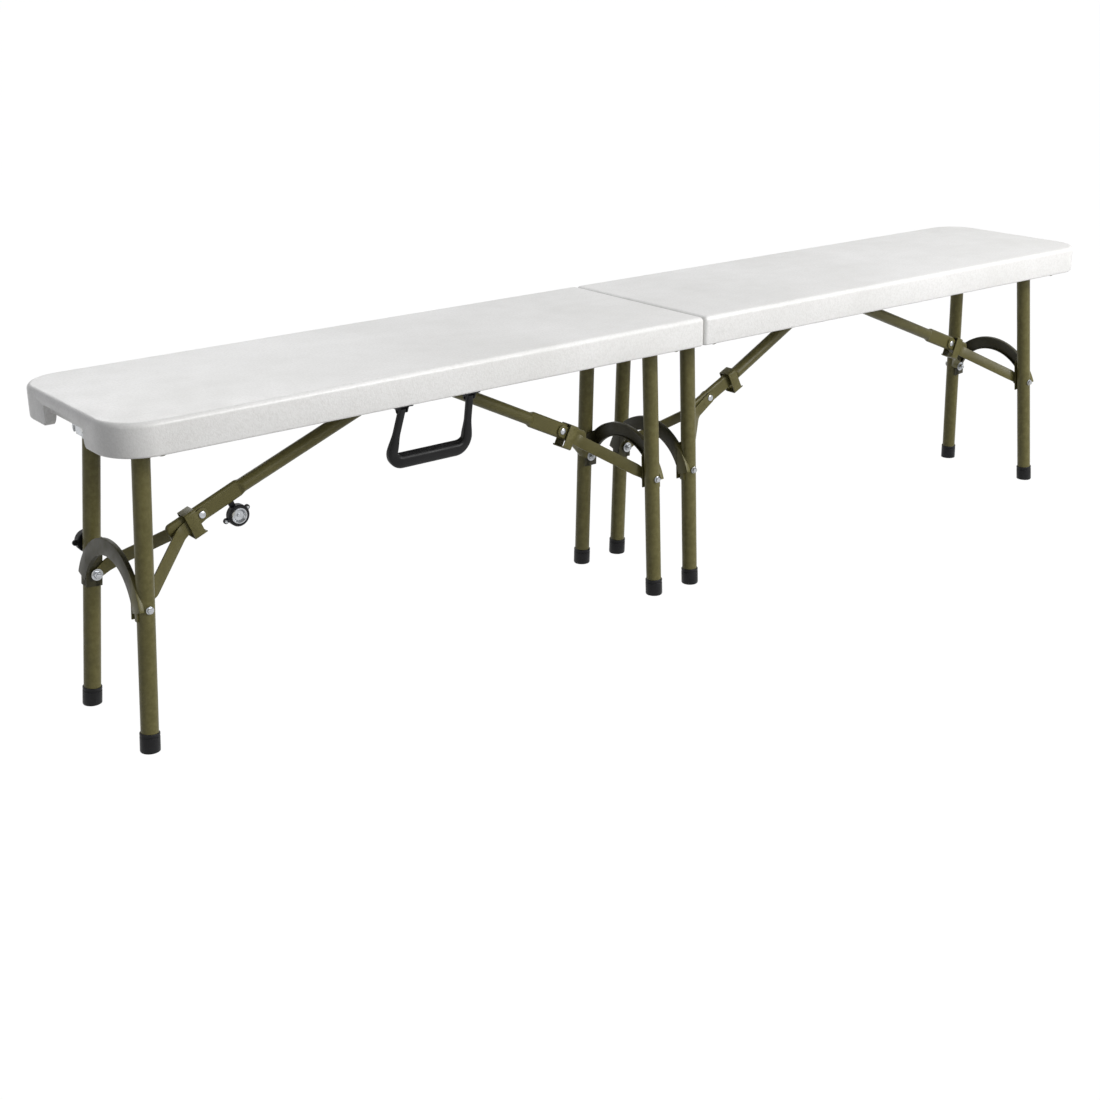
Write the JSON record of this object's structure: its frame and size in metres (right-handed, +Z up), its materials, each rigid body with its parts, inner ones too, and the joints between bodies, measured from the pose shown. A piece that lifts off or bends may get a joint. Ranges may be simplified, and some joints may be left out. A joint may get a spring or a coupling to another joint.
{
  "type": "folding bench",
  "caption": "Folding bench with two moulded seat halves on a centre hinge, splayed steel leg frames with knee braces and lock rings, a carry handle and an end latch.",
  "frame": {"origin": "on the floor under the middle of the centre seam", "axes": "+X along the bench towards its right end as seen from the front, +Y to the rear, +Z up"},
  "size_m": [1.83, 0.303, 0.441],
  "materials": {
    "seat_plastic": "off-white moulded polyethylene with a fine pebble grain",
    "olive_paint": "olive-khaki powder coat",
    "dark_paint": "darker olive powder coat on the pressed arches",
    "black_plastic": "black moulded plastic",
    "zinc_steel": "bright zinc plate"
  },
  "bodies": {
    "seat_left": {"seat_left": "seat_plastic", "hinge_leaf_left": "zinc_steel", "hinge_pin": "zinc_steel", "left_brace_bracket": "zinc_steel", "handle_clip_outer": "black_plastic", "handle_clip_inner": "black_plastic", "latch_plate": "zinc_steel"},
    "seat_right": {"seat_right": "seat_plastic", "hinge_leaf_right": "zinc_steel", "right_brace_bracket": "zinc_steel", "latch_striker": "zinc_steel"},
    "handle": {"carry_handle": "black_plastic"},
    "latch": {"latch_hook": "zinc_steel"},
    "left_outer_leg": {"left_outer_leg_frame": "olive_paint", "left_outer_leg_arch": "dark_paint", "left_outer_front_foot_cap": "black_plastic", "left_outer_rear_foot_cap": "black_plastic", "left_outer_front_leg_bolt": "zinc_steel", "left_outer_rear_leg_bolt": "zinc_steel", "leg_catch": "black_plastic"},
    "left_outer_brace": {"left_outer_brace": "olive_paint"},
    "left_outer_ring": {"left_outer_lock_ring": "olive_paint", "brace_catch": "black_plastic"},
    "left_outer_head": {"left_outer_fork_head": "olive_paint"},
    "left_outer_fork": {"left_outer_front_fork_strip": "olive_paint", "left_outer_rear_fork_strip": "olive_paint"},
    "left_inner_leg": {"left_inner_leg_frame": "olive_paint", "left_inner_leg_arch": "dark_paint", "left_inner_front_foot_cap": "black_plastic", "left_inner_rear_foot_cap": "black_plastic", "left_inner_front_leg_bolt": "zinc_steel", "left_inner_rear_leg_bolt": "zinc_steel"},
    "left_inner_brace": {"left_inner_brace": "olive_paint"},
    "left_inner_ring": {"left_inner_lock_ring": "olive_paint"},
    "left_inner_head": {"left_inner_fork_head": "olive_paint"},
    "left_inner_fork": {"left_inner_front_fork_strip": "olive_paint", "left_inner_rear_fork_strip": "olive_paint"},
    "right_inner_leg": {"right_inner_leg_frame": "olive_paint", "right_inner_leg_arch": "dark_paint", "right_inner_front_foot_cap": "black_plastic", "right_inner_rear_foot_cap": "black_plastic", "right_inner_front_leg_bolt": "zinc_steel", "right_inner_rear_leg_bolt": "zinc_steel"},
    "right_inner_brace": {"right_inner_brace": "olive_paint"},
    "right_inner_ring": {"right_inner_lock_ring": "olive_paint"},
    "right_inner_head": {"right_inner_fork_head": "olive_paint"},
    "right_inner_fork": {"right_inner_front_fork_strip": "olive_paint", "right_inner_rear_fork_strip": "olive_paint"},
    "right_outer_leg": {"right_outer_leg_frame": "olive_paint", "right_outer_leg_arch": "dark_paint", "right_outer_front_foot_cap": "black_plastic", "right_outer_rear_foot_cap": "black_plastic", "right_outer_front_leg_bolt": "zinc_steel", "right_outer_rear_leg_bolt": "zinc_steel"},
    "right_outer_brace": {"right_outer_brace": "olive_paint"},
    "right_outer_ring": {"right_outer_lock_ring": "olive_paint"},
    "right_outer_head": {"right_outer_fork_head": "olive_paint"},
    "right_outer_fork": {"right_outer_front_fork_strip": "olive_paint", "right_outer_rear_fork_strip": "olive_paint"}
  },
  "joints": [
    {"name": "centre_fold", "type": "hinge", "parent": "seat_left", "child": "seat_right", "pos_m": [0, 0, 0.384], "axis": [0, 1, 0], "range_deg": [0, 180]},
    {"name": "left_outer_leg_fold", "type": "hinge", "parent": "seat_left", "child": "left_outer_leg", "pos_m": [-0.848, 0, 0.402], "axis": [0, -1, 0], "range_deg": [0, 95]},
    {"name": "left_outer_brace_pivot", "type": "hinge", "parent": "seat_left", "child": "left_outer_brace", "pos_m": [-0.38, -0.012, 0.412], "axis": [0, 1, 0], "range_deg": [0, 22.31]},
    {"name": "left_outer_knee", "type": "hinge", "parent": "left_outer_brace", "child": "left_outer_head", "pos_m": [-0.74578, 0, 0.26296], "axis": [0, -1, 0], "range_deg": [0, 166.04]},
    {"name": "left_outer_fork_pivot", "type": "hinge", "parent": "left_outer_leg", "child": "left_outer_fork", "pos_m": [-0.86674, 0, 0.18782], "axis": [0, -1, 0], "range_deg": [0, 48.72]},
    {"name": "left_outer_ring_slide", "type": "slide", "parent": "left_outer_brace", "child": "left_outer_ring", "axis": [0.9261, 0, 0.3774], "range_m": [0, 0.0795]},
    {"name": "left_inner_leg_fold", "type": "hinge", "parent": "seat_left", "child": "left_inner_leg", "pos_m": [-0.0375, 0, 0.402], "axis": [0, 1, 0], "range_deg": [0, 90]},
    {"name": "left_inner_brace_pivot", "type": "hinge", "parent": "seat_left", "child": "left_inner_brace", "pos_m": [-0.45, 0.012, 0.412], "axis": [0, -1, 0], "range_deg": [0, 26.41]},
    {"name": "left_inner_knee", "type": "hinge", "parent": "left_inner_brace", "child": "left_inner_head", "pos_m": [-0.15045, 0, 0.26435], "axis": [0, 1, 0], "range_deg": [0, 167.4]},
    {"name": "left_inner_fork_pivot", "type": "hinge", "parent": "left_inner_leg", "child": "left_inner_fork", "pos_m": [-0.0375, 0, 0.187], "axis": [0, 1, 0], "range_deg": [0, 50.99]},
    {"name": "left_inner_ring_slide", "type": "slide", "parent": "left_inner_brace", "child": "left_inner_ring", "axis": [-0.897, 0, 0.4421], "range_m": [0, 0.075]},
    {"name": "right_inner_leg_fold", "type": "hinge", "parent": "seat_right", "child": "right_inner_leg", "pos_m": [0.0375, 0, 0.402], "axis": [0, -1, 0], "range_deg": [0, 90]},
    {"name": "right_inner_brace_pivot", "type": "hinge", "parent": "seat_right", "child": "right_inner_brace", "pos_m": [0.45, 0.012, 0.412], "axis": [0, 1, 0], "range_deg": [0, 26.41]},
    {"name": "right_inner_knee", "type": "hinge", "parent": "right_inner_brace", "child": "right_inner_head", "pos_m": [0.15045, 0, 0.26435], "axis": [0, -1, 0], "range_deg": [0, 167.4]},
    {"name": "right_inner_fork_pivot", "type": "hinge", "parent": "right_inner_leg", "child": "right_inner_fork", "pos_m": [0.0375, 0, 0.187], "axis": [0, -1, 0], "range_deg": [0, 50.99]},
    {"name": "right_inner_ring_slide", "type": "slide", "parent": "right_inner_brace", "child": "right_inner_ring", "axis": [0.897, 0, 0.4421], "range_m": [0, 0.002]},
    {"name": "right_outer_leg_fold", "type": "hinge", "parent": "seat_right", "child": "right_outer_leg", "pos_m": [0.848, 0, 0.402], "axis": [0, 1, 0], "range_deg": [0, 95]},
    {"name": "right_outer_brace_pivot", "type": "hinge", "parent": "seat_right", "child": "right_outer_brace", "pos_m": [0.38, -0.012, 0.412], "axis": [0, -1, 0], "range_deg": [0, 22.31]},
    {"name": "right_outer_knee", "type": "hinge", "parent": "right_outer_brace", "child": "right_outer_head", "pos_m": [0.74578, 0, 0.26296], "axis": [0, 1, 0], "range_deg": [0, 166.04]},
    {"name": "right_outer_fork_pivot", "type": "hinge", "parent": "right_outer_leg", "child": "right_outer_fork", "pos_m": [0.86674, 0, 0.18782], "axis": [0, 1, 0], "range_deg": [0, 48.72]},
    {"name": "right_outer_ring_slide", "type": "slide", "parent": "right_outer_brace", "child": "right_outer_ring", "axis": [-0.9261, 0, 0.3774], "range_m": [0, 0.077]},
    {"name": "handle_swing", "type": "hinge", "parent": "seat_left", "child": "handle", "pos_m": [-0.467, -0.142, 0.391], "axis": [-1, 0, 0], "range_deg": [0, 100]},
    {"name": "latch_swing", "type": "hinge", "parent": "seat_left", "child": "latch", "pos_m": [-0.896, -0.035, 0.405], "axis": [-1, 0, 0], "range_deg": [0, 90]}
  ],
  "couplings": [
    {"joint": "left_outer_leg_fold", "follows": "centre_fold", "ratio": 0.52777},
    {"joint": "left_outer_brace_pivot", "follows": "centre_fold", "ratio": 0.12394},
    {"joint": "left_outer_knee", "follows": "centre_fold", "ratio": 0.92244},
    {"joint": "left_outer_fork_pivot", "follows": "centre_fold", "ratio": 0.27066},
    {"joint": "left_outer_ring_slide", "follows": "centre_fold", "m_per_rad": 0.025305},
    {"joint": "left_inner_leg_fold", "follows": "centre_fold", "ratio": 0.5},
    {"joint": "left_inner_brace_pivot", "follows": "centre_fold", "ratio": 0.14672},
    {"joint": "left_inner_knee", "follows": "centre_fold", "ratio": 0.93},
    {"joint": "left_inner_fork_pivot", "follows": "centre_fold", "ratio": 0.28327},
    {"joint": "left_inner_ring_slide", "follows": "centre_fold", "m_per_rad": 0.023873},
    {"joint": "right_inner_leg_fold", "follows": "centre_fold", "ratio": 0.5},
    {"joint": "right_inner_brace_pivot", "follows": "centre_fold", "ratio": 0.14672},
    {"joint": "right_inner_knee", "follows": "centre_fold", "ratio": 0.93},
    {"joint": "right_inner_fork_pivot", "follows": "centre_fold", "ratio": 0.28327},
    {"joint": "right_inner_ring_slide", "follows": "centre_fold", "m_per_rad": 0.000636},
    {"joint": "right_outer_leg_fold", "follows": "centre_fold", "ratio": 0.52777},
    {"joint": "right_outer_brace_pivot", "follows": "centre_fold", "ratio": 0.12394},
    {"joint": "right_outer_knee", "follows": "centre_fold", "ratio": 0.92244},
    {"joint": "right_outer_fork_pivot", "follows": "centre_fold", "ratio": 0.27066},
    {"joint": "right_outer_ring_slide", "follows": "centre_fold", "m_per_rad": 0.024509},
    {"joint": "handle_swing", "follows": "centre_fold", "ratio": 0.55555}
  ]
}
